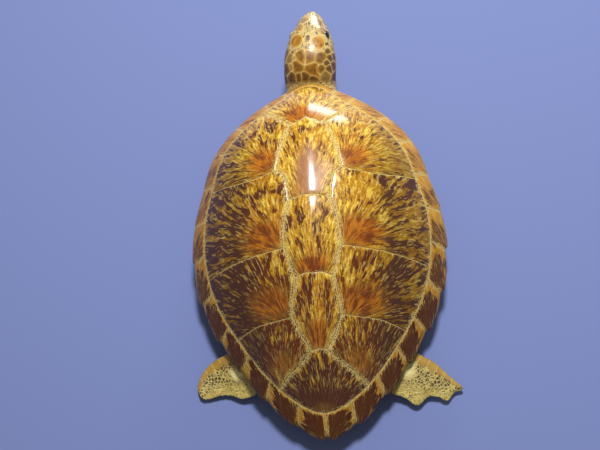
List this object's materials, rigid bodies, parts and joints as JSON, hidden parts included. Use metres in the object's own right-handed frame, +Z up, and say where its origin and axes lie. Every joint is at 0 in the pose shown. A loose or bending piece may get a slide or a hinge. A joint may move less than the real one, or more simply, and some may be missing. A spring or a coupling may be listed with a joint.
{
  "type": "preserved sea turtle",
  "caption": "Whole dried and varnished sea turtle lying on its plastron: domed scuted shell, head drawn forward, flippers folded back under the rim, short tail.",
  "frame": {"origin": "on the ground, in the shell's plane of symmetry, below the middle of the whole length from the snout to the rear rim", "axes": "+Y along the body towards the snout, +X to the turtle's right, +Z up from the plastron to the crown of the carapace"},
  "size_m": [0.4143, 0.6928, 0.2049],
  "materials": {
    "varnished_horn": "keratin scutes over bone, tortoiseshell-patterned, under a thick clear varnish",
    "plastron_horn": "pale yellow keratin scutes, varnished",
    "body_skin": "dried pale straw skin with fine wrinkles, varnished",
    "head_scales": "brown and orange-brown scales with cream borders, varnished",
    "flipper_skin": "dried skin with small dark scales and large ochre scales along the leading edge, varnished",
    "eye_glass": "dark polished glass"
  },
  "bodies": {
    "root": {"carapace": "varnished_horn", "plastron": "plastron_horn", "trunk": "body_skin", "head": "head_scales", "eye_right": "eye_glass", "eye_left": "eye_glass", "front_flipper_right": "flipper_skin", "front_flipper_left": "flipper_skin", "hind_flipper_right": "flipper_skin", "hind_flipper_left": "flipper_skin", "tail": "body_skin"}
  },
  "joints": []
}
